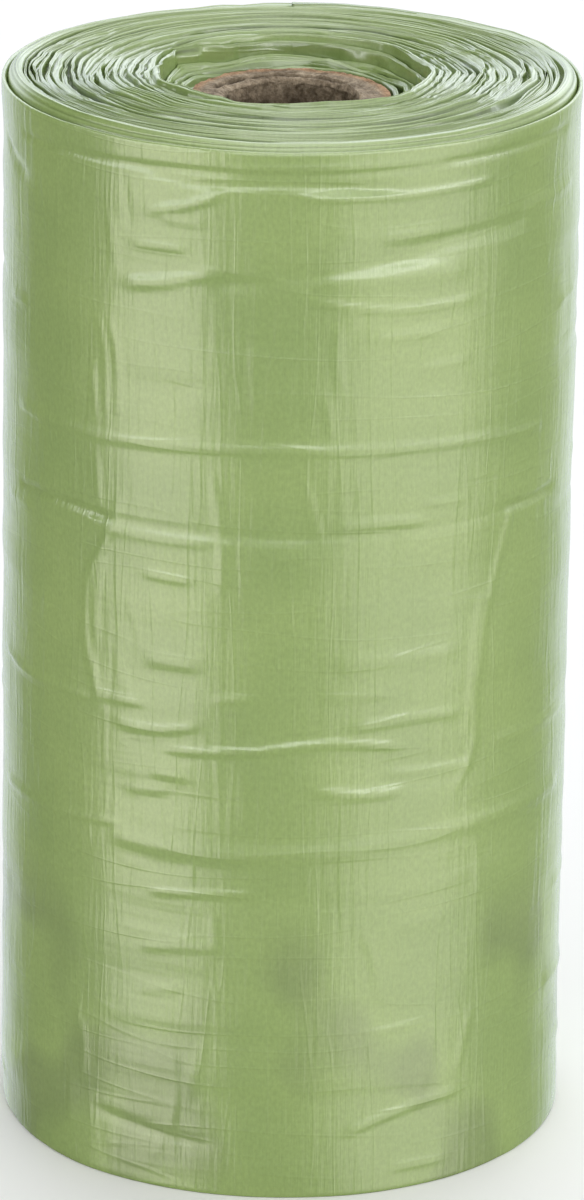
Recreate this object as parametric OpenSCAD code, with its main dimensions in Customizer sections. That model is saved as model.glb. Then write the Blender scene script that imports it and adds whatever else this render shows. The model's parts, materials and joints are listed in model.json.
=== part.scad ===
// A free-standing roll of waste bags: one long web of folded film, wound on a paperboard core.
// Millimetres. +Z runs up the roll's axis and Z = 0 is the surface that the roll stands on.
// The front of the roll faces -Y, and the web's loose tail lies at the back, along +Y.

/* [Film web] */
// Width of the folded web, which is the height of the standing roll
web_width = 62; // [40:1:120]
// Thickness that one turn of the folded web takes up on the roll
turn_pitch = 0.42; // [0.3:0.02:0.6]
// Number of turns wound on the core
turns = 25; // [8:1:40]
// Height over which each turn's folded edge rounds off
fold_height = 0.45; // [0.2:0.05:0.9]
// Width of the flat crown left on each folded edge
fold_crown = 0.14; // [0.05:0.01:0.2]

/* [Winding] */
// How far the innermost turn lies below the face of the roll
crater_depth = 1.3; // [0:0.1:3]
// Number of inner turns that step down to the core
crater_turns = 4; // [1:1:6]
// How far the outermost turn's top edge lies below its neighbours
shoulder_drop = 0.3; // [0:0.05:0.6]
// Number of outer turns that step down to the shoulder
shoulder_turns = 2; // [1:1:4]
// Most that one turn's edge stands above or below the next
edge_scatter = 0.16; // [0:0.02:0.4]
// Number of outer turns that the roll stands on
standing_turns = 6; // [1:1:7]

/* [Outer wrap] */
// Height of the tight ridges that run round the outer wrap
ridge_height = 0.12; // [0:0.02:0.3]
// Half the width of one such ridge
ridge_half_width = 0.7; // [0.3:0.1:1]

/* [Core] */
// Outer diameter of the paperboard core
core_diameter = 11.3; // [9:0.1:20]
// Wall of the core
core_wall = 1.85; // [1:0.05:2.5]
// Distance from each end of the roll to the end of the core
core_recess = 1.2; // [0:0.1:3]
// Radial clearance between the core and the first turn of film
core_fit = 0.02; // [0.01:0.01:0.1]
// Width of the crack where the core's plies part
crack_width = 0.12; // [0.05:0.01:0.2]
// Depth of that crack, from the end of the core
crack_depth = 0.6; // [0.2:0.1:2]

/* [Hidden] */
$fn = 96;

film_color = [0.60, 0.68, 0.42];
core_color = [0.62, 0.56, 0.48];

// Radius of the film's first turn, where it leaves the core
first_radius = core_diameter / 2 + core_fit;
core_bore = core_diameter - 2 * core_wall;
core_length = web_width - 2 * core_recess;

// Share of the web's width at which each ridge lies, from the foot up
ridge_places = [0.16, 0.30, 0.35, 0.42, 0.48, 0.69, 0.73, 0.87, 0.93];

// The crack runs along an arc round a point beside the axis, from one compass angle to another
crack_radius = core_diameter / 2 - 0.75 * core_wall;
crack_shift = 0.25;
crack_from = 35;
crack_sweep = 135;
// Room that a cut runs past the face it opens in
past = 1;

// The web is a spiral of half turns. One half of the roll is centred on the axis. The other
// half is centred half a pitch to the side, so each half turn runs smoothly into the next.
half_shift = turn_pitch / 2;

// How far turn j's edge lies inside the roll's end, from the crater round the core
function crater(j) = crater_depth * max(0, 1 - j / crater_turns);

// The same, from the shoulder at the outside of the roll
function shoulder(j) = shoulder_drop * max(0, 1 - (turns - 1 - j) / shoulder_turns);

// A fixed scatter from -1 to 1, which differs from turn to turn
function scatter(j, seed) = sin(j * 143 + seed);

function top_of(j) = web_width - crater(j) - shoulder(j) + edge_scatter * scatter(j, 20);

// The outer turns stand on the floor, and each turn further in is lifted a little
function foot_of(j) =
    j >= turns - standing_turns ? 0 : crater(j) + edge_scatter * (1 + scatter(j, 75)) / 2;

// One turn's folded edge in section: up from the valley, over the crown and down again.
// way is 1 for the top edge and -1 for the bottom edge.
function fold(radius, edge, way) =
    let (side = (turn_pitch - fold_crown) / 2)
    [
        [radius, edge - way * fold_height],
        [radius + side, edge],
        [radius + turn_pitch - side, edge],
    ];

// The outer wall in section, from the foot up, with its ridges
function outer_wall(radius) = [
    for (place = ridge_places, k = [-1, 0, 1])
        [radius + (k == 0 ? ridge_height : 0), place * web_width + k * ridge_half_width]
];

// Half of the roll in section, with the first turn's inner face at the given radius
function section(radius) =
    let (outside = radius + turns * turn_pitch)
    concat(
        [for (j = [0 : turns - 1], p = fold(radius + j * turn_pitch, foot_of(j), -1)) p],
        [[outside, foot_of(turns - 1) + fold_height]],
        outer_wall(outside),
        [[outside, top_of(turns - 1) - fold_height]],
        [
            for (j = [turns - 1 : -1 : 0])
                let (edge = fold(radius + j * turn_pitch, top_of(j), 1))
                for (k = [len(edge) - 1 : -1 : 0]) edge[k]
        ]
    );

// The wound web, turned so that its tail lies at the back
module film_roll() {
    color(film_color)
    rotate([0, 0, 90]) {
        rotate_extrude(angle = 180)
            polygon(section(first_radius));
        translate([half_shift, 0, 0])
            rotate([0, 0, 180])
            rotate_extrude(angle = 180)
            polygon(section(first_radius + half_shift));
    }
}

// The slit in the core's end where its plies have parted
module ply_crack() {
    translate([-crack_shift, 0, -crack_depth])
        rotate([0, 0, crack_from])
        rotate_extrude(angle = crack_sweep)
        translate([crack_radius, 0])
        square([crack_width, crack_depth + past]);
}

// The rolled paperboard tube inside the film
module paperboard_core() {
    color(core_color)
    translate([0, 0, core_recess])
    difference() {
        cylinder(h = core_length, d = core_diameter);
        translate([0, 0, -past])
            cylinder(h = core_length + 2 * past, d = core_bore);
        translate([0, 0, core_length])
            ply_crack();
        mirror([0, 0, 1])
            ply_crack();
    }
}

film_roll();
paperboard_core();
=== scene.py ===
# The looks of a standing roll of waste bags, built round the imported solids.
# Sizes are in millimetres until a mesh is made, and MM turns them into metres. The studio is in metres.
# A bearing is an angle round the roll's axis, from the front (-Y), positive towards +X.
import json
import math

import bmesh
import bpy
import numpy as np
from mathutils import Matrix, Vector


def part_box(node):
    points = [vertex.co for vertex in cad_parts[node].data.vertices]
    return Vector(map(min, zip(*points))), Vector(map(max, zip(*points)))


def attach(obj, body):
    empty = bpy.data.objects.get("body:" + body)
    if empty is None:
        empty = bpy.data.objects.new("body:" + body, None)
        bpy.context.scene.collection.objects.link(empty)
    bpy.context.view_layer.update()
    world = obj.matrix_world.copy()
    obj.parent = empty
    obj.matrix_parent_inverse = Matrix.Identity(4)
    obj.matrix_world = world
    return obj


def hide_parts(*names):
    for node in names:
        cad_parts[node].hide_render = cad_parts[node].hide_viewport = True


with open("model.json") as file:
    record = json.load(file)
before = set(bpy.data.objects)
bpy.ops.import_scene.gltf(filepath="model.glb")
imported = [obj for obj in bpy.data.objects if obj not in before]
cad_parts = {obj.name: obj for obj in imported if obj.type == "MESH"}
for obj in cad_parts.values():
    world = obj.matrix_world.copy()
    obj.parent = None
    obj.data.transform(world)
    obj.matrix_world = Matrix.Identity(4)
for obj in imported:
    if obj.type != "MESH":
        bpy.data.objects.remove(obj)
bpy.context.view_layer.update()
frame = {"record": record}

MM = 0.001
# How far the ridges round the solid's outer turn stand out
RIDGE = 0.12
# The clearance between the core and the first turn
FIT = 0.02

film_low, film_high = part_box("film_roll")
core_low, core_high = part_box("paperboard_core")
MOUNTS = {mount["name"]: mount for mount in frame["record"]["mounts"]}

# The winding, read back from the solids
PITCH = (film_high.y + film_low.y) / MM
OUTER_RADIUS = -film_low.y / MM - RIDGE
CORE_RADIUS = core_high.x / MM
BORE_RADIUS = MOUNTS["core_bore"]["dims"]["r_mm"]
WEB_WIDTH = (core_low.z + core_high.z) / MM
CORE_RECESS = core_low.z / MM
FIRST_RADIUS = CORE_RADIUS + FIT
TURNS = round((OUTER_RADIUS - FIRST_RADIUS) / PITCH)
# The last turn is the outer wrap, and the rest are the wound turns inside it
WOUND = TURNS - 1
MEAN_RADIUS = OUTER_RADIUS + PITCH / 4


def fade(t):
    """Runs smoothly from 0 to 1 as t does, with no corner at either end."""
    t = np.clip(t, 0.0, 1.0)
    return t * t * t * (t * (6 * t - 15) + 10)


def bump(x, centre, half_width):
    """A smooth bump of height 1."""
    return fade(1 - np.abs(x - centre) / half_width)


def lattice_noise(x, y, cells, seed, kinked=False):
    """Noise from -1 to 1 over a lattice that x and y cross from 0 to 1, and that closes on itself in x.
    Kinked noise runs straight from one lattice line to the next in x."""
    cells_x, cells_y = cells
    lattice = np.random.default_rng(seed).uniform(-1, 1, (cells_x, cells_y + 1))
    u = (x % 1.0) * cells_x
    v = np.clip(y, 0.0, 1.0) * cells_y
    i = np.floor(u).astype(int) % cells_x
    j = np.minimum(np.floor(v).astype(int), cells_y - 1)
    a = u - np.floor(u)
    a = a if kinked else fade(a)
    b = fade(v - j)
    k = (i + 1) % cells_x
    low = lattice[i, j] * (1 - a) + lattice[k, j] * a
    high = lattice[i, j + 1] * (1 - a) + lattice[k, j + 1] * a
    return low * (1 - b) + high * b


def turn_share(bearing):
    """The bearing as a share of a full turn, from 0 at the back."""
    return bearing / (2 * math.pi) + 0.5


def on_spiral(turn, bearing, z, shift=0.0):
    """Points on the web's spiral of half turns on two centres, as the solids have it."""
    second = bearing > 0
    radius = FIRST_RADIUS + PITCH * turn + PITCH / 2 * second + shift
    x = radius * np.sin(bearing)
    y = PITCH / 2 * second - radius * np.cos(bearing)
    return np.stack(np.broadcast_arrays(x, y, z), axis=-1)


def make_piece(name, points, faces, material, uv=None, shade_and_ply_tones=None):
    """A mesh in the row frame, which rides on the roll's only body. Its tones carry painted shade, and
    the colour of the core's outer plies, to the material.
    """
    mesh = bpy.data.meshes.new(name)
    mesh.from_pydata((np.asarray(points) * MM).tolist(), [], faces)
    shape = bmesh.new()
    shape.from_mesh(mesh)
    bmesh.ops.recalc_face_normals(shape, faces=shape.faces)
    shape.to_mesh(mesh)
    shape.free()
    if uv is not None:
        layer = mesh.uv_layers.new(name="web")
        corner = np.empty(len(mesh.loops), dtype=np.int32)
        mesh.loops.foreach_get("vertex_index", corner)
        layer.data.foreach_set("uv", np.asarray(uv, dtype=np.float32)[corner].ravel())
    if shade_and_ply_tones is not None:
        layer = mesh.attributes.new("shade_and_ply_tone", "FLOAT_VECTOR", "POINT")
        layer.data.foreach_set("vector", np.asarray(shade_and_ply_tones, dtype=np.float32).ravel())
    mesh.shade_smooth()
    piece = bpy.data.objects.new(name, mesh)
    bpy.context.scene.collection.objects.link(piece)
    piece.data.materials.append(material)
    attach(piece, "root")
    return piece


# The wound turns, whose folded edges make the end faces

# Places along each turn
STATIONS = 480
# The turns are made as two bodies, which meet at this turn
SPLIT = 12
# Across one turn's folded edge, which is two plies wide: share of the pitch, drop below the crown in
# millimetres, and how much it takes of each ply's own height
FOLD = [
    (0.08, 0.27, 1, 0),
    (0.16, 0.13, 1, 0),
    (0.25, 0.02, 1, 0),
    (0.36, 0.03, 1, 0),
    (0.48, 0.18, 0.5, 0.5),
    (0.60, 0.02, 0, 1),
    (0.74, 0.0, 0, 1),
    (0.85, 0.13, 0, 1),
    (0.93, 0.27, 0, 1),
]
FOOT_FOLD = [(0.5, 0.0, 0, 0)]
DEEPEST_DROP = max(drop for _, drop, _, _ in FOLD)
# How deep the valley between two turns is
VALLEY = 0.45
# The usual height of a crown, which is the top of a turn's fold, and the most that a fold may have
TOP_LEVEL = WEB_WIDTH - 0.05
TOP_LIMIT = WEB_WIDTH + 0.15
# The crater round the core: its depth, and its depth as a share at places along the web
CRATER_DEPTH = 1.5
CRATER_PLACES = [0, 1, 2, 3, 3.7, 4.25]
CRATER_SHARES = [1, 0.92, 0.82, 0.66, 0.48, 0]
# The foot's crater takes this many turns
CRATER_TURNS = 4
# How far the wrap's rim lies below the web's full width
RIM_DROP = 0.36
# How far the outermost wound turn leans in at its crown, and from which turn on the lean grows
CROWN_LEAN = 0.35
LEAN_FROM = 18.5

# Corners that the flattened turns share: bearing and half span in degrees, then the height of the
# corner in millimetres at each of CORNER_TURNS. From turn to turn a corner wanders by up to
# CORNER_WANDER degrees.
CORNER_WANDER = 13
CORNER_TURNS = [0, 3, 7, 11, 15, 19, 22, 24]
CORNERS = [
    (93, 27, [0, 0.10, 0.35, 0.55, 0.70, 0.60, 0.25, 0]),
    (-92, 36, [0, 0.15, 0.30, 0.45, 0.40, 0.45, 0.30, 0]),
    (66, 14, [0, 0.00, 0.10, 0.00, 0.15, 0.25, 0.10, 0]),
    (-70, 16, [0, 0.15, 0.05, 0.20, 0.05, 0.20, 0.10, 0]),
]
# Gaps between one turn and the next: where each starts and ends along the web, counted in turns from
# the back, and the share of the pitch that it takes
GAPS = [
    (5.36, 5.56, 0.3),
    (7.58, 7.72, 0.4),
    (9.22, 9.30, 0.4),
    (10.70, 10.76, 0.5),
    (12.31, 12.49, 0.6),
    (13.92, 14.09, 0.45),
    (14.23, 14.32, 0.6),
    (15.42, 15.53, 0.3),
    (16.72, 16.77, 0.6),
    (17.61, 17.73, 0.7),
    (18.22, 18.27, 0.5),
    (19.73, 19.79, 0.6),
    (20.23, 20.28, 0.7),
    (20.52, 20.63, 0.4),
    (21.19, 21.27, 0.6),
    (21.33, 21.42, 0.4),
    (22.72, 22.81, 0.6),
]
# How far the turn inside the wrap stands above the wrap's rim, at bearings in degrees
BAND_BEARINGS = [-180, -110, -85, -60, -35, -8, 20, 45, 70, 95, 130, 180]
BAND_HEIGHTS = [0.0, 0.3, 0.60, 0.66, 0.56, 0.36, 0.36, 0.44, 0.50, 0.42, 0.15, 0.0]


def along_noise(path, per_turn, seed, kinked=False):
    """Noise that runs along the web, with so many steps to a turn."""
    length = TURNS + 2
    return lattice_noise(path / length, 0 * path, (per_turn * length, 1), seed, kinked)


def bearing_of(path):
    """The bearing at a place along the web, which starts at the back."""
    return -math.pi + 2 * math.pi * (path % 1.0)


def beside(bearing):
    """Runs from 0 at the front and back to 1 at the left and right."""
    return fade((np.abs(np.sin(bearing)) - 0.4) / 0.45)


def lateral(turn, bearing):
    """How far the turns lean out from the true spiral, in millimetres."""
    level = turn + (bearing > 0) * (1 - np.cos(bearing)) / 2
    degrees = np.degrees(bearing)
    out = 0 * level
    wander = CORNER_WANDER * lattice_noise(level / TURNS, 0 * level, (16, 1), 2)
    for place, span, heights in CORNERS:
        away = np.abs(degrees - place - wander)
        away = np.minimum(away, 360 - away)
        corner = np.maximum(0, 1 - away / span) - 0.3 * bump(away, 0, 2.6 * span)
        out = out + np.interp(level, CORNER_TURNS, heights) * corner
    # Small kinks, larger at the left and right, and then the folds of the crater's lip
    share = turn_share(bearing)
    more = 0.5 + beside(bearing)
    out += 0.10 * more * lattice_noise(share, level / TURNS, (34, 8), 3, kinked=True)
    out += 0.05 * more * lattice_noise(share, level / TURNS, (96, 12), 4, kinked=True)
    lip = bump(level, 3.8, 3.4)
    out += 0.36 * lip * lattice_noise(share, level / TURNS, (13, 5), 5, kinked=True)
    out += 0.15 * lip * lattice_noise(share, level / TURNS, (44, 11), 6, kinked=True)
    out = out * np.interp(level, [0, 1.6, 21.5, WOUND], [0, 1, 1, 0])
    return out - CROWN_LEAN * fade((level - LEAN_FROM) / 5)


def rim_height(bearing):
    """Height of the wrap's top edge."""
    share = turn_share(bearing)
    behind = fade((np.abs(bearing) - 1.7) / 0.5)
    height = WEB_WIDTH - RIM_DROP + 0.04 * lattice_noise(share, 0 * share, (9, 1), 41)
    height += (0.015 + 0.05 * behind) * lattice_noise(share, 0 * share, (70, 1), 42, kinked=True)
    return height


def crown_height(path):
    """Height of a turn's folded edge above the floor, at a place along the web."""
    bearing = bearing_of(path)
    more = 0.6 + beside(bearing)
    height = TOP_LEVEL - CRATER_DEPTH * np.interp(path, CRATER_PLACES, CRATER_SHARES)
    height += 0.09 * along_noise(path, 2, 11)
    height += 0.05 * more * along_noise(path, 7, 12)
    height += 0.035 * more * along_noise(path, 34, 13, kinked=True)
    height += 0.22 * bump(path, 2, 3) * along_noise(path, 19, 14, kinked=True)
    height += 0.05 * bump(path, 4.6, 1.0)
    band = rim_height(bearing) + np.interp(np.degrees(bearing), BAND_BEARINGS, BAND_HEIGHTS)
    band += 0.02 * along_noise(path, 9, 15)
    outermost = fade(path - WOUND + 2.0)
    return height * (1 - outermost) + band * outermost


def gap_after(path):
    """Share of the pitch that lies open between a turn and the next one out."""
    share = (0.55 - 0.2 * beside(bearing_of(path))) * np.maximum(0, along_noise(path, 13, 8))
    for start, end, wide in GAPS:
        share = np.maximum(share, wide * bump(path, (start + end) / 2, (end - start) / 2))
    return share


def edge_rows(path, top):
    """Points of one end of the turns: for each place along the web its valley, its fold and the valley
    that follows, with their places across the web and the shade that the material paints on them."""
    turn = np.floor(path + 1e-9)
    bearing = -math.pi + 2 * math.pi * (path - turn)
    if top:
        crown = crown_height(path)
        gap_in, gap_out = gap_after(path - 1) / 2, gap_after(path) / 2
        depth = VALLEY * (0.85 + 0.35 * beside(bearing))
        depth += 0.5 * bump(path, 4.5, 1)
        valley = np.minimum(crown, crown_height(np.maximum(path - 1, 0))) - depth - 1.8 * gap_in
        following = np.minimum(crown, crown_height(np.minimum(path + 1, WOUND))) - depth - 1.8 * gap_out
        following = np.where(path >= WOUND - 1, crown - 0.05, following)
    else:
        crown = np.interp(turn, [0, CRATER_TURNS, WOUND - 7, WOUND - 5], [CRATER_DEPTH, 0.12, 0.05, 0])
        gap_in = gap_out = 0 * path
        valley = following = crown + VALLEY
    plies = 0.09 * (along_noise(path, 11, 21) - 0.6), 0.09 * (along_noise(path, 11, 22) - 0.6)
    lean = 0.09 * along_noise(path, 8, 23, kinked=True) - 0.3 * bump(path, 4.5, 0.9)
    outermost = fade((path - WOUND + 1.3) / 0.3)
    # Painted shade in the valley: how dark it is painted changes along it, and the hidden foot stays
    # plain
    shadow = np.clip(0.45 + 0.75 * along_noise(path, 6, 25), 0, 1) if top else 0 * path
    places = [(turn, valley, shadow)]
    if top:
        # Two rows let the inner walls crumple round the crater
        first = crown - 0.3
        for order, share in enumerate((0.35, 0.75)):
            crumple = 0.5 * bump(path, 2.4, 3.4) * along_noise(path, 34, 37 + order, kinked=True)
            places.append((turn + gap_in * share + crumple, valley + share * (first - valley), shadow))
    for order, (share, drop, first_ply, second_ply) in enumerate(FOLD if top else FOOT_FOLD):
        reach = gap_in + (1 - gap_in - gap_out) * share
        height = crown
        if top:
            reach = reach + lean * (1 - abs(2 * share - 1))
            wear = along_noise(path, 14, 30 + order)
            drops = drop * (1 - 0.8 * outermost * (share > 0.3)) * (0.55 + 0.45 * beside(bearing))
            height = crown - drops * (1 + 0.45 * wear) - 0.03 * (1 + wear)
            height = height + first_ply * plies[0] + second_ply * plies[1] * (1 - 0.7 * outermost)
            height = np.minimum(height, TOP_LIMIT)
        # Deeper dips across the fold get more painted shade
        places.append((turn + reach, height, shadow * drop / DEEPEST_DROP))
    places.append((turn + 1, following, shadow * (path < WOUND - 1)))
    points = [on_spiral(place, bearing, height, lateral(place, bearing)) for place, height, _ in places]
    across = [place * PITCH + height for place, height, _ in places]
    shades = [shade for _, _, shade in places]
    return np.stack(points, axis=1), np.stack(across, axis=1), np.stack(shades, axis=1)


def quads(index):
    """The four-sided faces of a grid of vertex numbers."""
    corners = index[:-1, :-1], index[1:, :-1], index[1:, 1:], index[:-1, 1:]
    return np.stack([corner.ravel() for corner in corners], axis=-1).tolist()


# The rings of the outermost wound turn's wall: the share of its height above the wrap's rim, the
# distance below that rim, how far the ring stands out, and the depth of the groove that it makes
WALL_RINGS = [
    (0.88, 0.0, -0.27, 0.0),
    (0.78, 0.0, -0.22, 0.14),
    (0.68, 0.0, -0.16, 0.0),
    (0.52, 0.0, -0.09, 0.0),
    (0.40, 0.0, -0.03, 0.13),
    (0.30, 0.0, 0.03, 0.0),
    (0.14, 0.0, 0.09, 0.0),
    (0.0, 0.08, 0.13, 0.0),
    (0.0, 0.5, 0.12, 0.0),
    (0.0, 1.2, 0.06, 0.0),
    (0.0, 2.4, 0.0, 0.0),
]


def film_turns(name, first, last, material):
    """The turns from first to last, as one closed spiral body. It stays in step with its neighbours by
    the same rule for each valley."""
    stations = (last - first) * STATIONS
    path = first + np.arange(stations + 1) / STATIONS
    outside = stations - STATIONS
    points = []
    across = []
    shades = []
    indices = []
    count = 0
    for end_is_top in (True, False):
        grid, reach, shade = edge_rows(path, end_is_top)
        width = grid.shape[1] - 1
        index = count + np.arange((stations + 1) * width).reshape(stations + 1, width)
        count += index.size
        beyond = count + np.arange(STATIONS)
        count += STATIONS
        # Past the fold comes the valley of the next turn out, and at the last turn a point of its own
        closing = np.concatenate([index[STATIONS:, 0], beyond])
        indices.append(np.concatenate([index, closing[:, None]], axis=1))
        points += [grid[:, :-1].reshape(-1, 3), grid[outside + 1:, -1]]
        across += [reach[:, :-1].ravel(), reach[outside + 1:, -1]]
        shades += [shade[:, :-1].ravel(), shade[outside + 1:, -1]]
    top, foot = indices
    rings = []
    if last == WOUND:
        end = path[outside:]
        turn = np.floor(end + 1e-9)
        bearing = -math.pi + 2 * math.pi * (end - turn)
        crown, rim = crown_height(np.minimum(end, last - 1e-6)), rim_height(bearing)
        for order, (share, below, proud, groove) in enumerate(WALL_RINGS):
            # The grooves wander between the crown and the rim, and fade in and out
            wander = 0.3 * share * (1 - share) * along_noise(end, 7, 17)
            z = rim + (share + wander) * (crown - rim) - below
            sunk = groove * (0.55 + 0.7 * along_noise(end, 5, 18 + order, kinked=True))
            points.append(on_spiral(turn + 1, bearing, z, proud - sunk))
            across.append(z + last * PITCH)
            # Painted shade in each groove, darker the deeper the groove is sunk
            shades.append(4 * sunk)
            rings.append(count + np.arange(STATIONS + 1))
            count += STATIONS + 1
    outer_wall = np.stack([top[outside:, -1], *rings, foot[outside:, -1]], axis=1)
    inner_wall = np.stack([top[:STATIONS + 1, 0], foot[:STATIONS + 1, 0]], axis=1)
    faces = quads(top) + quads(foot) + quads(outer_wall) + quads(inner_wall)
    faces.append([*top[0], *foot[0, ::-1]])
    faces.append([*top[-1], *outer_wall[-1, 1:-1], *foot[-1, ::-1], *outer_wall[0, -2:0:-1]])
    points = np.concatenate(points)
    lengths = np.abs(np.arctan2(points[:, 0], -points[:, 1])) * np.hypot(points[:, 0], points[:, 1])
    uv = np.stack([lengths, np.concatenate(across)], axis=-1)
    shades = np.concatenate(shades)
    shade_and_ply_tones = np.stack([shades, 0 * shades, 0 * shades], axis=-1)
    return make_piece(name, points, faces, material, uv, shade_and_ply_tones)


# The outer wrap, with its wrinkles

# Creases of the outer wrap that run across it, from left to right. Each has the points that it runs
# through, as millimetres round the roll from the front and height above the floor, and then its half
# width and its height, which CREASE_GAIN scales. These places were read off the photograph, where the
# rim stands at READ_RIM, and CAMERA_SCALE turns them into the model's millimetres.
READ_RIM = 62.0
RIM_LEVEL = WEB_WIDTH - 0.35
CAMERA_SCALE = RIM_LEVEL / READ_RIM
CREASE_GAIN = 1.5
ACROSS = [
    (((-19.5, 60.2), (-8, 60.6), (2, 60.75), (12, 60.9), (21, 60.8)), 0.22, -0.08),
    (((-4, 60.9), (3, 61.0), (10, 60.9)), 0.25, 0.05),
    (((-9.5, 60.5), (-5.5, 60), (0, 60.2), (6, 59.7)), 0.25, -0.05),
    (((1, 59.8), (4, 60.1), (7, 59.8)), 0.35, -0.05),
    (((0, 59.4), (7, 59.3), (13, 59.5)), 0.22, 0.07),
    (((-9, 57.9), (-6, 58.6), (-3, 59.6)), 0.30, 0.08),
    (((-8, 57.8), (-4, 57.7)), 0.22, 0.05),
    (((-9.8, 56.1), (-5, 56.2)), 0.25, 0.07),
    (((-10.5, 53.6), (-7, 54.2), (-4, 54.9), (0, 55)), 0.40, 0.10),
    (((-5, 54.5), (0, 54.9), (5, 55.5), (10, 56.5), (16, 56.8)), 0.70, -0.10),
    (((4, 57), (10, 57.1), (22, 57.3)), 0.35, 0.06),
    (((1, 54.6), (6, 54.7), (11, 54.5)), 0.60, 0.07),
    (((0.5, 53.7), (5, 52.9), (12, 52.8)), 0.25, 0.07),
    (((2.5, 57.2), (5, 57.1)), 0.22, 0.03),
    (((4, 51.2), (10, 51.3)), 0.30, 0.05),
    (((7, 49.2), (11.3, 49.3)), 0.35, 0.05),
    (((7, 48.2), (10, 48)), 0.40, -0.03),
    (((-6, 47.5), (-3, 47.6)), 0.60, 0.03),
    (((-20, 44.4), (-10, 44.6), (-4, 44.9), (2, 44.9), (10, 44.6), (18, 44)), 0.30, 0.07),
    (((7, 41.4), (11.5, 41.1)), 0.22, 0.05),
    (((2, 40.3), (5, 40.5), (9, 40.3)), 0.35, 0.06),
    (((-20, 39.5), (-16, 39.9), (-10, 39.9)), 0.22, -0.14),
    (((-13, 39.9), (0, 39.9), (16, 40)), 0.22, -0.04),
    (((13, 40.2), (16.5, 39.9), (20, 39.9)), 0.22, -0.14),
    (((-13, 39.3), (-7, 39.2), (-3, 39.4)), 0.35, 0.05),
    (((-22, 38.5), (-17, 38.8)), 0.30, 0.06),
    (((-9, 37.1), (-4.5, 36.9)), 0.30, 0.06),
    (((-9, 32.1), (-4, 32)), 0.40, 0.06),
    (((2, 32.3), (6, 32.4), (11, 32.2)), 0.50, 0.06),
    (((1.5, 30.4), (7, 30.5)), 0.40, 0.05),
    (((-4.4, 30.1), (-1.2, 30.3)), 0.22, 0.05),
    (((-12, 29.2), (-7.5, 29.4)), 0.25, 0.07),
    (((-22.5, 29.1), (-18, 28.6), (-14.5, 28.8), (-11, 29)), 0.25, 0.08),
    (((-11, 28.1), (-8.5, 27.9), (-4, 28.5)), 0.25, 0.09),
    (((3, 28.5), (8, 28.8), (11.5, 28.5)), 0.35, 0.08),
    (((-7.5, 26.8), (-1.5, 27.2), (3, 27.7), (7.5, 27.1)), 0.22, 0.09),
    (((-8, 25.4), (-5, 25.3)), 0.22, 0.05),
    (((-10, 24), (-6, 24.4)), 0.30, 0.05),
    (((12.5, 26.2), (23, 25.7)), 0.30, 0.06),
    (((5, 25.7), (12.5, 25.2)), 0.30, 0.06),
    (((1, 24.9), (5.5, 24.5), (8, 24.7)), 0.30, 0.08),
    (((-22.5, 20.9), (-15, 21.3), (-9, 22)), 0.25, 0.08),
    (((-11, 21.1), (-5, 20.8), (2, 21.1), (10, 21.6), (22, 21.5)), 0.55, 0.08),
    (((-10, 19.6), (-7.5, 19.6)), 0.22, 0.04),
    (((-8.5, 18.1), (-5, 18.4), (-0.5, 18.7)), 0.22, 0.07),
    (((2, 18.5), (8, 18.4), (12, 18.5)), 0.40, 0.03),
    (((6, 16.2), (11, 16.4)), 0.40, 0.03),
    (((-10.5, 15.7), (-4, 15.6)), 0.25, 0.04),
    (((-9, 14.6), (-5.5, 15.1), (-2.5, 15.2)), 0.30, 0.05),
    (((-9, 12), (-5, 12.5)), 0.30, 0.04),
    (((4.5, 9.8), (9, 10.2)), 0.25, 0.04),
    (((-12, 4), (-3, 2.8)), 0.30, -0.06),
    (((3, 3.6), (6, 4.6), (8, 5.1), (12, 5.4)), 0.30, 0.07),
    (((6, 1.5), (11, 1.3)), 0.30, 0.05),
    (((-23, 59.4), (-20, 58.3), (-17.5, 57.8)), 0.35, -0.08),
    (((-21, 50.6), (-18, 50.6)), 0.30, 0.05),
    (((18.5, 50.7), (23, 50.8)), 0.25, 0.06),
]
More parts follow.
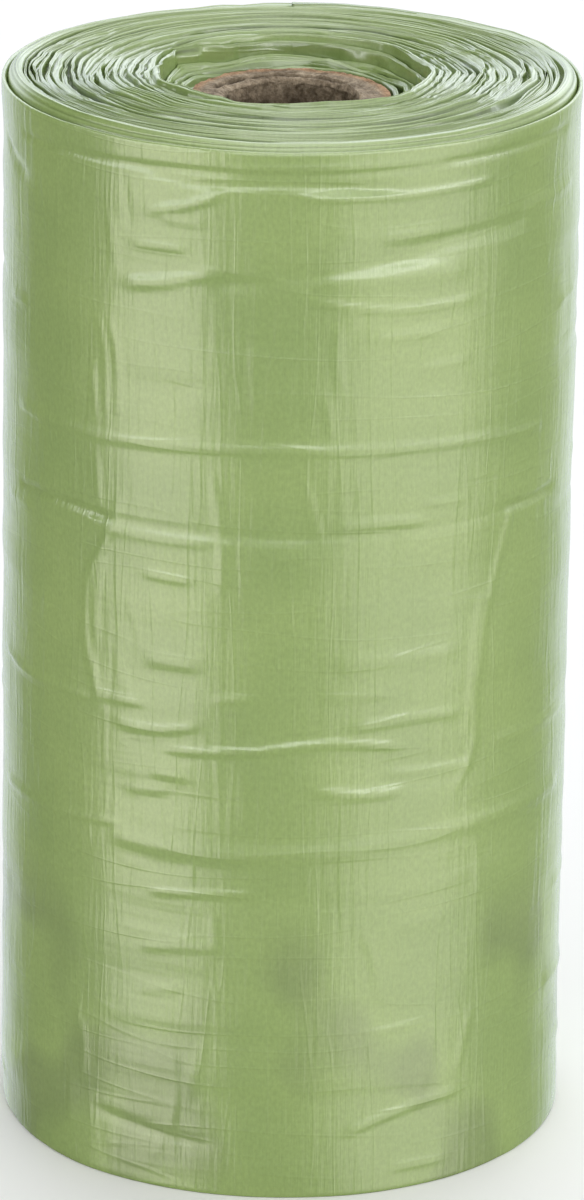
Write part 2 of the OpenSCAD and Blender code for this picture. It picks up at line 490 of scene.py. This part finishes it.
# The same for creases that run up the wrap, from the lowest point up
UPRIGHT = [
    (((-9.2, 56.3), (-9.3, 57.5), (-9.8, 60.5)), 0.22, -0.05),
    (((-10.3, 53.8), (-10.5, 57.8)), 0.25, 0.05),
    (((-10.8, 45), (-11, 50), (-11.8, 52.6)), 0.25, 0.06),
    (((-10, 45), (-10.2, 50), (-11, 52.6)), 0.25, 0.06),
    (((-11.5, 45), (-11.9, 49.2)), 0.25, 0.06),
    (((-11.3, 40), (-11.5, 44)), 0.25, 0.06),
    (((-11, 27.5), (-11.5, 30), (-12.2, 32), (-12.3, 34), (-11.7, 37), (-10.4, 39), (-9.7, 42)),
     0.30, 0.08),
    (((-11.5, 31.5), (-11.5, 35), (-10.3, 41)), 0.25, 0.06),
    (((-8.4, 32.5), (-9.3, 35.8)), 0.22, 0.03),
    (((-8.7, 27), (-9.6, 31.5)), 0.25, 0.04),
    (((-9.5, 27), (-10, 33)), 0.25, 0.03),
    (((-8.4, 22), (-8.5, 26)), 0.25, 0.03),
    (((-3.7, 35.5), (-3.6, 40), (-4.2, 44)), 0.25, 0.06),
    (((-3.4, 36), (-3.3, 40)), 0.22, 0.05),
    (((-1.6, 46), (-1.9, 52)), 0.22, 0.05),
    (((2.2, 38.8), (1.9, 40), (0.8, 44)), 0.25, 0.06),
    (((3.2, 47.5), (2.8, 50), (3, 53)), 0.25, 0.06),
    (((2.6, 45.2), (2.1, 48.5)), 0.25, 0.05),
    (((3.6, 51.5), (3.7, 53)), 0.22, 0.04),
    (((14.9, 44.5), (14.9, 48), (14.2, 51)), 0.25, 0.05),
    (((10, 23.2), (11.6, 26), (11.8, 30), (12.3, 33.5), (13.4, 37), (14.8, 41)), 0.30, 0.08),
    (((11.1, 26), (11.8, 33.8), (12.3, 36)), 0.25, 0.06),
    (((14.6, 27), (15.3, 33)), 0.25, 0.03),
    (((-2.1, 22), (-2.2, 27)), 0.22, 0.04),
    (((-1.4, 24.5), (-1.5, 29)), 0.22, 0.04),
    (((12.4, 16.5), (12.2, 21.2)), 0.25, 0.05),
    (((13.1, 17), (13, 20)), 0.22, 0.03),
    (((-12.4, 5), (-12.3, 8), (-13.1, 10.2)), 0.30, 0.07),
    (((-13.3, 1.5), (-13.3, 6.3)), 0.25, 0.06),
    (((-5.1, 18.8), (-5.2, 20.5)), 0.22, 0.04),
    (((-3.5, 15), (-3.9, 17.5)), 0.25, 0.05),
    (((-3, 12), (-3.1, 15)), 0.22, 0.04),
    (((-5.5, 1), (-5.6, 9)), 0.25, -0.05),
    (((-5.2, 5), (-4.3, 10)), 0.30, 0.04),
    (((-7.5, 1), (-6, 5), (-5.5, 8)), 0.30, 0.04),
    (((6, 11), (5.6, 14), (4.5, 17)), 0.30, 0.05),
    (((8, 4), (9, 8), (9.5, 14)), 0.30, 0.03),
    (((11, 6), (11.6, 9), (12.3, 11)), 0.30, 0.06),
    (((-16, 41), (-16.3, 43)), 0.25, 0.04),
    (((-16.4, 31.5), (-16, 34.3)), 0.25, 0.05),
    (((5.8, 33), (6.1, 41)), 0.25, -0.03),
    (((4.2, 41.5), (4.5, 43)), 0.22, 0.03),
]
# Long edges along which the wrap changes its slant, which bound the bright bands on it
FACETS = [
    (((-12, 2), (-11, 6), (-10.2, 10), (-11.2, 17), (-11.7, 23), (-11.5, 28), (-12.2, 33), (-11.6, 37),
      (-10.4, 41), (-10.8, 45), (-10.5, 50), (-10.4, 55), (-9.9, 61)), 3.0, 0.08),
    (((-4.2, 2), (-5.3, 9), (-3.6, 17), (-3.3, 24), (-4.6, 31), (-3.7, 36), (-3.7, 41), (-3.5, 47),
      (-4.4, 54), (-3.4, 60)), 2.5, 0.02),
    (((4, 2), (3.2, 9), (2.4, 18), (1.2, 26), (1.6, 34), (2.1, 40), (1.2, 43), (2.6, 47), (2.9, 53),
      (1.5, 60)), 2.5, 0.02),
    (((11, 2), (10.6, 9), (12.3, 17), (10.2, 23), (11.6, 27), (12, 32), (13.4, 37), (14.2, 41), (12, 47),
      (12, 53), (11.8, 60)), 3.0, 0.04),
]
# How far, in millimetres, the ridge of such an edge is rounded
FACET_ROUNDING = 0.9
# How many creases there are of each kind where the photograph doesn't show the wrap, and how far round
# from the front that part begins
UNSEEN_ACROSS = 44
UNSEEN_UPRIGHT = 26
UNSEEN_FROM = 24


def curve_through(x, points):
    """A smooth curve through points that are sorted by their first number."""
    place, value = np.array(points, dtype=float).T
    slope = np.gradient(value, place)
    i = np.clip(np.searchsorted(place, x) - 1, 0, len(place) - 2)
    step = place[i + 1] - place[i]
    t = np.clip((x - place[i]) / step, 0, 1)
    rest = 1 - t
    from_left = (value[i] * (1 + 2 * t) + slope[i] * step * t) * rest * rest
    from_right = (value[i + 1] * (1 + 2 * rest) - slope[i + 1] * step * rest) * t * t
    return from_left + from_right


def crease(along, across, points, half_width, height):
    """Relief of one crease, which tapers off at both ends."""
    first, last = points[0][0], points[-1][0]
    taper = min(2.0, 0.35 * (last - first))
    ends = fade((along - first) / taper) * fade((last - along) / taper)
    distance = (across - curve_through(along, points)) / half_width
    return height * np.exp(-distance * distance) * ends


def facet(along, across, points, half_width, height):
    """Relief of a long edge between two slants: a tent whose ridge is a little rounded."""
    distance = (across - curve_through(along, points)) / half_width
    soft = FACET_ROUNDING / half_width
    tent = 1 - np.sqrt(distance * distance + soft * soft)
    return height * 0.5 * (tent + np.sqrt(tent * tent + soft * soft))


def unseen_creases():
    """Creases for the part of the wrap that the photograph doesn't show, like those that it does."""
    rng = np.random.default_rng(7)
    across = []
    upright = []
    reach = math.pi * MEAN_RADIUS
    for _ in range(UNSEEN_ACROSS):
        s, z = rng.uniform(UNSEEN_FROM, 2 * reach - UNSEEN_FROM), rng.uniform(2, 60)
        length, rise = rng.uniform(3, 14), rng.normal(0, 0.5)
        bow = rng.normal(0, 0.3)
        line = ((s - length / 2, z - rise), (s, z + bow), (s + length / 2, z + rise))
        across.append((line, rng.uniform(0.3, 0.55), rng.uniform(0.03, 0.1) * rng.choice([1, 1, -1])))
    for _ in range(UNSEEN_UPRIGHT):
        s, z = rng.uniform(UNSEEN_FROM, 2 * reach - UNSEEN_FROM), rng.uniform(6, 54)
        length, lean = rng.uniform(3, 9), rng.normal(0, 0.6)
        bow = rng.normal(0, 0.3)
        line = ((z - length / 2, s - lean), (z, s + bow), (z + length / 2, s + lean))
        upright.append((line, rng.uniform(0.5, 0.7), rng.uniform(0.04, 0.1)))
    return across, upright


def relief(s, z):
    """How far the wrap's surface stands off its true radius, at a distance round it from the front and a
    height above the floor."""
    share = s / (2 * math.pi * MEAN_RADIUS) + 0.5
    tall = z / WEB_WIDTH
    out = 0.05 * lattice_noise(share, tall, (10, 14), 31)
    out += 0.045 * lattice_noise(share, tall, (14, 34), 32)
    out += 0.012 * lattice_noise(share, tall, (70, 9), 33)
    read_s, read_z = s / CAMERA_SCALE, z / CAMERA_SCALE
    for line, half_width, height in ACROSS:
        out += crease(read_s, read_z, line, half_width, CREASE_GAIN * height)
    for line, half_width, height in UPRIGHT:
        turned = [(point[1], point[0]) for point in line]
        out += crease(read_z, read_s, turned, half_width, height)
    for line, half_width, height in FACETS:
        turned = [(point[1], point[0]) for point in line]
        out += facet(read_z, read_s, turned, half_width, height)
    across, upright = UNSEEN
    behind = np.mod(s, 2 * math.pi * MEAN_RADIUS)
    for line, half_width, height in across:
        out += crease(behind, z, line, half_width, height)
    for line, half_width, height in upright:
        out += crease(z, behind, line, half_width, height)
    # The roll widens a little towards its foot, and just under its rim
    out += 0.07 * (1 - tall) - 0.02
    out += 0.05 * np.exp(-((z - WEB_WIDTH + 1.0) / 0.8) ** 2)
    return out


UNSEEN = unseen_creases()

# Rows of the wrap under its rim and below them, and where the first begin, as a share of its height
RIM_ROWS = 22
SIDE_ROWS = 272
RIM_ROWS_FROM = 0.945


def wrap_rows():
    """Heights of the wrap's rows as shares, closest together under the rim."""
    low = np.linspace(0.0, RIM_ROWS_FROM, SIDE_ROWS, endpoint=False)
    high = np.linspace(RIM_ROWS_FROM, 1.0, RIM_ROWS)
    return np.concatenate([low, high])


# Columns of the wrap in its front half, and in each of its two back quarters
FRONT_COLUMNS = 232
BACK_COLUMNS = 42
# How far the wrap's start runs on under its tail, in radians
OVERLAP = 0.01
# How much of the wrap's thickness is gone at its tail, and over which angle it thins out, in radians
TAIL_THINNING = 0.6
TAIL_SPAN = 0.6
# The radius of the wrap's edges
WRAP_LIP = 0.1


def wrap_bearings():
    """Bearings of the wrap's columns, closest together at the front."""
    left = np.linspace(-math.pi - OVERLAP, -math.pi / 2, BACK_COLUMNS, endpoint=False)
    front = np.linspace(-math.pi / 2, math.pi / 2, FRONT_COLUMNS, endpoint=False)
    right = np.linspace(math.pi / 2, math.pi, BACK_COLUMNS + 1)
    return np.concatenate([left, front, right])


def outer_wrap(material):
    """The last turn of the web: a thin closed sheet whose tail ends at the back."""
    bearing = wrap_bearings()
    rows = wrap_rows()
    top = rim_height(bearing)
    s = MEAN_RADIUS * bearing
    columns = len(bearing)
    lip = WRAP_LIP
    thin = 1 - TAIL_THINNING * fade((bearing - math.pi + TAIL_SPAN) / TAIL_SPAN)
    side = lip + (top - 2 * lip) * rows[:, None]
    rings = list(on_spiral(WOUND + thin, bearing, side, relief(s, side)))
    heights = list(side)
    # Over the rim, down the inside, and round the foot: each ring's share of the thickness and height
    for share, z in (
        (0.93, top - 0.3 * lip),
        (0.78, top),
        (0.62, top - 0.3 * lip),
        (0.5, top - 1.2 * lip),
        (0.3, top - 1.2),
        (0.03, top - 2.6),
        (0.03, 1.5 + 0 * top),
        (0.6, lip + 0 * top),
        (0.75, 0 * top),
        (0.92, 0.3 * lip + 0 * top),
    ):
        follow = relief(s, z) * fade((share - 0.3) / 0.5)
        rings.append(on_spiral(WOUND + share * thin, bearing, z, follow))
        heights.append(z)
    count = len(rings)
    points = np.stack(rings)
    index = np.arange(count * columns).reshape(count, columns)
    faces = quads(np.concatenate([index, index[:1]]))
    faces += [index[:, 0].tolist(), index[::-1, -1].tolist()]
    uv = np.stack([np.broadcast_to(s, (count, columns)), np.stack(heights)], axis=-1).reshape(-1, 2)
    return make_piece("outer_wrap", points.reshape(-1, 3), faces, material, uv)


# The paperboard core

# Places round the core, and rings of each end face and of the bore
CORE_STATIONS = 240
FACE_RINGS = 46
BORE_RINGS = 60
# The crack between two plies: the angles from +X that it runs between, in degrees, and its radius at
# its start, near its middle and at its end
CRACK_FROM = 37
CRACK_TO = 166
CRACK_ANGLES = [CRACK_FROM, 82, CRACK_TO]
CRACK_RADII = [4.05, 4.34, 4.5]
CRACK_HALF_WIDTH = 0.14
CRACK_DEPTH = 0.75
# How far the core's top lies below its place in the solid, as read off the photograph
CORE_SINK = 0.25
# How far the torn inner ply stands into the bore
TORN_PLY = 0.12


def core_tube(material):
    """The core, with its parted plies and its rough bore."""
    angle = 2 * math.pi * np.arange(CORE_STATIONS) / CORE_STATIONS
    share = angle / (2 * math.pi)
    wall = CORE_RADIUS - BORE_RADIUS
    top = WEB_WIDTH - CORE_RECESS - CORE_SINK
    face_steps = np.linspace(0, 1, FACE_RINGS)
    depth_steps = np.linspace(0, 1, BORE_RINGS)
    rings = []
    shade_and_ply_tones = []

    def ring(radius, z, crack=0.0, outer=0.0, deep=0.0):
        x, y = radius * np.cos(angle), radius * np.sin(angle)
        rings.append(np.stack([x, y, z + 0 * angle], axis=-1))
        shade_and_ply_tones.append(np.stack([crack + 0 * angle, outer + 0 * angle, deep + 0 * angle], axis=-1))

    def face(height, direction, seed):
        for step in face_steps[:: direction]:
            radius = CORE_RADIUS - 0.03 - (wall - 0.09) * step
            rough = 0.05 * lattice_noise(share, step + 0 * share, (60, 9), seed)
            rough += 0.03 * lattice_noise(share, step + 0 * share, (150, 18), seed + 1)
            degrees = np.degrees(angle)
            reach = fade((degrees - CRACK_FROM) / 10) * fade((CRACK_TO - degrees) / 12)
            line = np.interp(degrees, CRACK_ANGLES, CRACK_RADII)
            line = line + 0.05 * lattice_noise(share, 0 * share, (48, 1), seed + 2)
            crack = reach * np.exp(-((radius - line) / CRACK_HALF_WIDTH) ** 4)
            # The plies inside the crack lie lower, and the innermost ones lowest
            inner = 0.1 * reach * fade((line - radius) / 0.15) + 0.2 * fade((line - 0.15 - radius) / 0.6)
            inward = rough - CRACK_DEPTH * crack - inner
            # The tone paints shade into the crack and gives the outer plies their paler colour
            ring(radius, height + direction * inward, crack, fade(1 - step / 0.45))

    ring(CORE_RADIUS, CORE_RECESS + 0.05)
    ring(CORE_RADIUS, top - 0.05)
    face(top, 1, 51)
    for step in depth_steps:
        z = top - 0.35 - (top - CORE_RECESS - 0.5) * step ** 2
        rough = 0.07 * lattice_noise(share, step ** 2 + 0 * share, (26, 160), 61)
        rough += 0.06 * lattice_noise(share, step + 0 * share, (110, 60), 62)
        torn = top - 0.9 + 0.5 * lattice_noise(share, 0 * share, (22, 1), 63, kinked=True)
        ply = TORN_PLY * fade((torn - z) / 0.12)
        # Painted shade darkens the bore the deeper it goes
        ring(BORE_RADIUS + rough - ply, z, deep=fade((top - z) / 2.6))
    face(CORE_RECESS, -1, 71)
    index = np.arange(len(rings) * CORE_STATIONS).reshape(len(rings), CORE_STATIONS)
    index = np.concatenate([index, index[:1]])
    faces = quads(np.concatenate([index, index[:, :1]], axis=1))
    points, shade_and_ply_tones = np.stack(rings).reshape(-1, 3), np.stack(shade_and_ply_tones).reshape(-1, 3)
    return make_piece("core_tube", points, faces, material, shade_and_ply_tones=shade_and_ply_tones)


# Materials

# The film's colour runs between these two
FILM_DEEP = (0.241, 0.338, 0.107)
FILM_PALE = (0.277, 0.378, 0.122)
# The painted shade of the film in its valleys and grooves, and the tint of its mottling near its foot
PAINTED_VALLEY_SHADE = (0.42, 0.47, 0.36)
MOTTLE_TINT = (0.81, 0.80, 0.87)
# The heights between which the mottling fades in, from the upper down
MOTTLE_TOP, MOTTLE_FULL = 18.0, 14.0
# The board's colour runs between these two
BOARD_DARK = (0.17, 0.13, 0.085)
BOARD_PALE = (0.50, 0.41, 0.30)
# Painted shade of the board in its crack, the warmer, paler colour of its outer plies, and painted shade
# deep in its bore, by the axis of its tone
BOARD_SHADE_AND_PLY_TINTS = {"X": (0.08, 0.07, 0.06), "Y": (1.3, 1.0, 0.8), "Z": (0.4, 0.36, 0.3)}


def new_material(name):
    """A node material, its nodes and links, and its shader."""
    material = bpy.data.materials.new(name)
    material.use_nodes = True
    nodes, links = material.node_tree.nodes, material.node_tree.links
    return material, nodes, links, nodes["Principled BSDF"]


def noise_node(nodes, links, vector, scale, detail=3.0, roughness=0.5, stretch=(1, 1, 1)):
    """A noise texture over stretched coordinates."""
    mapping = nodes.new("ShaderNodeMapping")
    mapping.inputs["Scale"].default_value = stretch
    links.new(vector, mapping.inputs["Vector"])
    noise = nodes.new("ShaderNodeTexNoise")
    noise.inputs["Scale"].default_value = scale
    noise.inputs["Detail"].default_value = detail
    noise.inputs["Roughness"].default_value = roughness
    links.new(mapping.outputs["Vector"], noise.inputs["Vector"])
    return noise.outputs["Fac"]


def ramp_node(nodes, links, value, low, high, low_color, high_color):
    """A colour that runs from one to the other as value goes from low to high."""
    ramp = nodes.new("ShaderNodeValToRGB")
    ramp.color_ramp.elements[0].position = low
    ramp.color_ramp.elements[0].color = (*low_color, 1)
    ramp.color_ramp.elements[1].position = high
    ramp.color_ramp.elements[1].color = (*high_color, 1)
    links.new(value, ramp.inputs["Fac"])
    return ramp.outputs["Color"]


def lines_node(nodes, links, value, half_width):
    """Thin soft lines where the value passes its middle."""
    ramp = nodes.new("ShaderNodeValToRGB")
    stops = ramp.color_ramp.elements
    stops[0].position, stops[0].color = 0.5 - half_width, (0, 0, 0, 1)
    stops[1].position, stops[1].color = 0.5 + half_width, (0, 0, 0, 1)
    stops.new(0.5).color = (1, 1, 1, 1)
    links.new(value, ramp.inputs["Fac"])
    return ramp.outputs["Color"]


def multiplied(nodes, links, first, second):
    """One colour times another."""
    node = nodes.new("ShaderNodeVectorMath")
    node.operation = "MULTIPLY"
    links.new(first, node.inputs[0])
    links.new(second, node.inputs[1])
    return node.outputs["Vector"]


def bump_node(nodes, links, height, distance, strength, normal=None):
    """A bump of the given depth in millimetres."""
    node = nodes.new("ShaderNodeBump")
    node.inputs["Distance"].default_value = distance * MM
    node.inputs["Strength"].default_value = strength
    links.new(height, node.inputs["Height"])
    if normal is not None:
        links.new(normal, node.inputs["Normal"])
    return node.outputs["Normal"]


def film_material(name, streak):
    """Glossy, pearly green film with fine wrinkles, mottling and painted shade in its valleys. Streak
    scales its upright streaks.
    """
    material, nodes, links, shader = new_material(name)
    web = nodes.new("ShaderNodeUVMap")
    web.uv_map = "web"
    web = web.outputs["UV"]
    mottle = noise_node(nodes, links, web, 0.11, 2.0, 0.5, (1, 1, 1))
    color = ramp_node(nodes, links, mottle, 0.35, 0.65, FILM_DEEP, FILM_PALE)
    # The wrap has no shade-and-ply tone, so no shade is painted in its valleys
    shade_and_ply_tone = nodes.new("ShaderNodeAttribute")
    shade_and_ply_tone.attribute_name = "shade_and_ply_tone"
    shaded = nodes.new("ShaderNodeSeparateXYZ")
    links.new(shade_and_ply_tone.outputs["Vector"], shaded.inputs["Vector"])
    # Painted shade: the film darkens where its tone marks a valley or groove
    shade = ramp_node(nodes, links, shaded.outputs["X"], 0.0, 1.0, (1.0,) * 3, PAINTED_VALLEY_SHADE)
    color = multiplied(nodes, links, color, shade)
    split = nodes.new("ShaderNodeSeparateXYZ")
    links.new(web, split.inputs["Vector"])
    near_foot = nodes.new("ShaderNodeMapRange")
    near_foot.inputs["From Min"].default_value = MOTTLE_TOP
    near_foot.inputs["From Max"].default_value = MOTTLE_FULL
    links.new(split.outputs["Y"], near_foot.inputs["Value"])
    patches = noise_node(nodes, links, web, 0.13, 1.0, 0.4, (1, 0.8, 1))
    patches = ramp_node(nodes, links, patches, 0.5, 0.6, (1.0,) * 3, MOTTLE_TINT)
    tint = nodes.new("ShaderNodeMix")
    tint.data_type = "RGBA"
    tint.inputs["A"].default_value = (1, 1, 1, 1)
    links.new(near_foot.outputs["Result"], tint.inputs["Factor"])
    links.new(patches, tint.inputs["B"])
    color = multiplied(nodes, links, color, tint.outputs["Result"])
    grain = noise_node(nodes, links, web, 5.0, 2.0, 0.6, (1, 0.6, 1))
    grain = ramp_node(nodes, links, grain, 0.3, 0.7, (0.93,) * 3, (1.07,) * 3)
    links.new(multiplied(nodes, links, color, grain), shader.inputs["Base Color"])
    streaks = noise_node(nodes, links, web, 1.0, 3.0, 0.6, (2.4, 0.16, 1))
    hoops = noise_node(nodes, links, web, 1.0, 2.0, 0.5, (0.07, 0.9, 1))
    upright = lines_node(nodes, links, noise_node(nodes, links, web, 1.0, 1.0, 0.5, (0.6, 0.05, 1)), 0.03)
    across = lines_node(nodes, links, noise_node(nodes, links, web, 1.0, 1.0, 0.5, (0.05, 0.5, 1)), 0.03)
    normal = bump_node(nodes, links, streaks, 0.06, 0.7 * streak)
    normal = bump_node(nodes, links, hoops, 0.10, 0.5, normal)
    normal = bump_node(nodes, links, upright, 0.02, 0.45 * streak, normal)
    normal = bump_node(nodes, links, across, 0.02, 0.45, normal)
    links.new(normal, shader.inputs["Normal"])
    shader.inputs["Roughness"].default_value = 0.27
    shader.inputs["IOR"].default_value = 1.7
    shader.inputs["Specular IOR Level"].default_value = 1.0
    return material


def board_material():
    """Grey-brown paperboard with fibres, warmer and paler outer plies, and painted shade in its crack and
    deep in its bore.
    """
    material, nodes, links, shader = new_material("paperboard")
    place = nodes.new("ShaderNodeTexCoord").outputs["Object"]
    blotch = noise_node(nodes, links, place, 1100, 5.0, 0.7)
    color = ramp_node(nodes, links, blotch, 0.34, 0.66, BOARD_DARK, BOARD_PALE)
    speckle = noise_node(nodes, links, place, 5200, 3.0, 0.7)
    speckle = ramp_node(nodes, links, speckle, 0.36, 0.62, (0.6, 0.56, 0.5), (1.0, 1.0, 1.0))
    color = multiplied(nodes, links, color, speckle)
    shade_and_ply_tone = nodes.new("ShaderNodeAttribute")
    shade_and_ply_tone.attribute_name = "shade_and_ply_tone"
    split = nodes.new("ShaderNodeSeparateXYZ")
    links.new(shade_and_ply_tone.outputs["Vector"], split.inputs["Vector"])
    # Painted shade in the crack and the bore, and the outer plies' own colour
    for axis, tint in BOARD_SHADE_AND_PLY_TINTS.items():
        mix = nodes.new("ShaderNodeMix")
        mix.data_type = "VECTOR"
        mix.inputs["A"].default_value = (1, 1, 1)
        mix.inputs["B"].default_value = tint
        links.new(split.outputs[axis], mix.inputs["Factor"])
        color = multiplied(nodes, links, color, mix.outputs["Result"])
    links.new(color, shader.inputs["Base Color"])
    fibres = noise_node(nodes, links, place, 2500, 4.0, 0.7)
    links.new(bump_node(nodes, links, fibres, 0.12, 1.0), shader.inputs["Normal"])
    shader.inputs["Roughness"].default_value = 0.9
    return material


# Studio, in metres

FLOOR_REACH = 0.6
FLOOR_COLOR = (0.87, 0.87, 0.87, 1)
WARM_LIGHT = (1.0, 0.93, 0.85)
# The light from behind is cool, and the whites at the roll's sides mirror it
COOL_LIGHT = (2.35, 2.5, 2.8)
# The light overhead: its level, and the direction that it spreads round
OVERHEAD_LEVEL = 1.8
OVERHEAD_LEAN = (0.45, 0.0, 0.9)
# A low band of light in front, which the creases mirror: its level, and the height and half span of its
# direction
STRIP_LEVEL = 3.6
STRIP_HEIGHT = 0.19
STRIP_SPAN = 0.065


def floor():
    """A plain pale floor."""
    size = FLOOR_REACH
    mesh = bpy.data.meshes.new("floor")
    corners = [(-size, -size, 0), (size, -size, 0), (size, size, 0), (-size, size, 0)]
    mesh.from_pydata(corners, [], [(0, 1, 2, 3)])
    piece = bpy.data.objects.new("floor", mesh)
    bpy.context.scene.collection.objects.link(piece)
    material, _, _, shader = new_material("floor")
    shader.inputs["Base Color"].default_value = FLOOR_COLOR
    shader.inputs["Roughness"].default_value = 0.9
    shader.inputs["Specular IOR Level"].default_value = 0.0
    mesh.materials.append(material)
    # The side of the roll mirrors what lies below the horizon, and there it should mirror the studio
    piece.visible_glossy = False
    piece.visible_shadow = False


# The widths of a soft box's layers as shares of its own, so that its light fades at both sides, and the
# distance between two layers
LAYERS = [1.3, 1.1, 0.9, 0.7]
LAYER_GAP = 0.004


def soft_box(name, bearing, distance, width, height, centre_z, power):
    """A tall layered area light that faces the roll's axis."""
    angle = math.radians(bearing)
    for order, share in enumerate(LAYERS):
        light = bpy.data.lights.new(f"{name}_{order}", "AREA")
        light.shape = "RECTANGLE"
        light.size = width * share
        light.size_y = height
        light.energy = power * share / len(LAYERS)
        light.color = WARM_LIGHT
        piece = bpy.data.objects.new(light.name, light)
        bpy.context.scene.collection.objects.link(piece)
        reach = distance - LAYER_GAP * order
        piece.location = (reach * math.sin(angle), -reach * math.cos(angle), centre_z)
        aim = Vector((0, 0, centre_z)) - piece.location
        piece.rotation_euler = aim.to_track_quat("-Z", "Y").to_euler()


def studio_world():
    """Bright over and behind the roll, dim round the rest, and plain white to the camera."""
    world = bpy.data.worlds.new("studio")
    bpy.context.scene.world = world
    world.use_nodes = True
    nodes, links = world.node_tree.nodes, world.node_tree.links
    background = nodes["Background"]
    place = nodes.new("ShaderNodeTexCoord").outputs["Generated"]
    split = nodes.new("ShaderNodeSeparateXYZ")
    links.new(place, split.inputs["Vector"])
    lean = nodes.new("ShaderNodeVectorMath")
    lean.operation = "DOT_PRODUCT"
    lean.inputs[1].default_value = OVERHEAD_LEAN
    links.new(place, lean.inputs[0])
    away = nodes.new("ShaderNodeMath")
    away.operation = "ABSOLUTE"
    links.new(split.outputs["X"], away.inputs[0])
    behind = ramp_node(nodes, links, split.outputs["Y"], 0.62, 0.86, (0.0,) * 3, (1.0,) * 3)
    above = ramp_node(nodes, links, split.outputs["Z"], 0.0, 0.25, (0.5,) * 3, (1.0,) * 3)
    flank = ramp_node(nodes, links, away.outputs["Value"], 0.05, 0.2, (0.62,) * 3, (1.0,) * 3)
    aside = ramp_node(nodes, links, split.outputs["X"], 0.0, 0.9, (0.05,) * 3, (0.15,) * 3)
    overhead = ramp_node(nodes, links, lean.outputs["Value"], 0.2, 0.6, (0.0,) * 3, (1.0,) * 3)
    narrow = ramp_node(nodes, links, away.outputs["Value"], 0.08, 0.5, (1.0,) * 3, (0.35,) * 3)
    front = ramp_node(nodes, links, split.outputs["Y"], -0.35, -0.05, (1.0,) * 3, (0.0,) * 3)
    band = nodes.new("ShaderNodeMath")
    band.operation = "COMPARE"
    band.inputs[1].default_value = STRIP_HEIGHT
    band.inputs[2].default_value = STRIP_SPAN
    links.new(split.outputs["Z"], band.inputs[0])
    path = nodes.new("ShaderNodeLightPath")

    def blend(first, second, way):
        node = nodes.new("ShaderNodeMix")
        node.data_type = "RGBA"
        node.blend_type = way
        node.inputs["Factor"].default_value = 1.0
        links.new(first, node.inputs["A"])
        links.new(second, node.inputs["B"])
        return node.outputs["Result"]

    def scaled(color, strength):
        node = nodes.new("ShaderNodeVectorMath")
        node.operation = "SCALE"
        node.inputs["Scale"].default_value = strength
        links.new(color, node.inputs[0])
        return node.outputs["Vector"]

    def tinted(color, tint):
        node = nodes.new("ShaderNodeVectorMath")
        node.operation = "MULTIPLY"
        node.inputs[1].default_value = tint
        links.new(color, node.inputs[0])
        return node.outputs["Vector"]

    seen = nodes.new("ShaderNodeMix")
    seen.data_type = "RGBA"
    seen.inputs["B"].default_value = (1, 1, 1, 1)
    links.new(path.outputs["Is Camera Ray"], seen.inputs["Factor"])
    overhead = scaled(blend(overhead, narrow, "MULTIPLY"), OVERHEAD_LEVEL)
    behind = tinted(blend(blend(behind, above, "MULTIPLY"), flank, "MULTIPLY"), COOL_LIGHT)
    strip = scaled(blend(front, band.outputs["Value"], "MULTIPLY"), STRIP_LEVEL)
    light = blend(blend(blend(aside, overhead, "ADD"), behind, "ADD"), strip, "ADD")
    links.new(light, seen.inputs["A"])
    links.new(seen.outputs["Result"], background.inputs["Color"])


# The camera, fitted to the photograph's outline of the roll: its distance from the point on the axis that
# it looks at, that point's height, and its pitch and roll in radians
CAMERA_DISTANCE = 403.15 * CAMERA_SCALE
LOOK_HEIGHT = 31 * CAMERA_SCALE
CAMERA_PITCH = 0.3354
CAMERA_ROLL = 0.0138
FOCAL_PIXELS = 6953.7
PHOTO_WIDTH, PHOTO_HEIGHT = 584, 1200
# The pixel of the photograph that shows that point
LOOK_X, LOOK_Y = 283.8, 593.2
SENSOR = 36.0


def camera():
    """The photograph's camera, which looks a little down on the roll."""
    data = bpy.data.cameras.new("camera")
    data.sensor_width = SENSOR
    data.lens = SENSOR * FOCAL_PIXELS / PHOTO_HEIGHT
    data.clip_start = 0.01
    piece = bpy.data.objects.new("camera", data)
    bpy.context.scene.collection.objects.link(piece)
    target = Vector((0, 0, LOOK_HEIGHT)) * MM
    back = Vector((0, -math.cos(CAMERA_PITCH), math.sin(CAMERA_PITCH)))
    right = Vector((1, 0, 0))
    up = back.cross(right)
    turned = Matrix.Rotation(CAMERA_ROLL, 4, "Z")
    pose = Matrix((right, up, back)).transposed().to_4x4() @ turned
    pose.translation = target + back * CAMERA_DISTANCE * MM
    piece.matrix_world = pose
    data.shift_x = (PHOTO_WIDTH / 2 - LOOK_X) / PHOTO_HEIGHT
    data.shift_y = (LOOK_Y - PHOTO_HEIGHT / 2) / PHOTO_HEIGHT
    bpy.context.scene.camera = piece


film = film_material("film", 1.0)
edges = film_material("film_edges", 0.15)
board = board_material()
inner_turns = film_turns("inner_turns", 0, SPLIT, edges)
outer_turns = film_turns("outer_turns", SPLIT, WOUND, edges)
wrap = outer_wrap(film)
core = core_tube(board)
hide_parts("film_roll")
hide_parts("film_roll")
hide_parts("film_roll")
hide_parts("paperboard_core")

floor()
soft_box("key", bearing=51, distance=0.6, width=0.66, height=0.58, centre_z=-0.13, power=1.25)
soft_box("fill", bearing=-51, distance=0.6, width=0.47, height=0.43, centre_z=-0.085, power=1.04)
studio_world()
camera()
bpy.context.scene.view_settings.view_transform = "Standard"
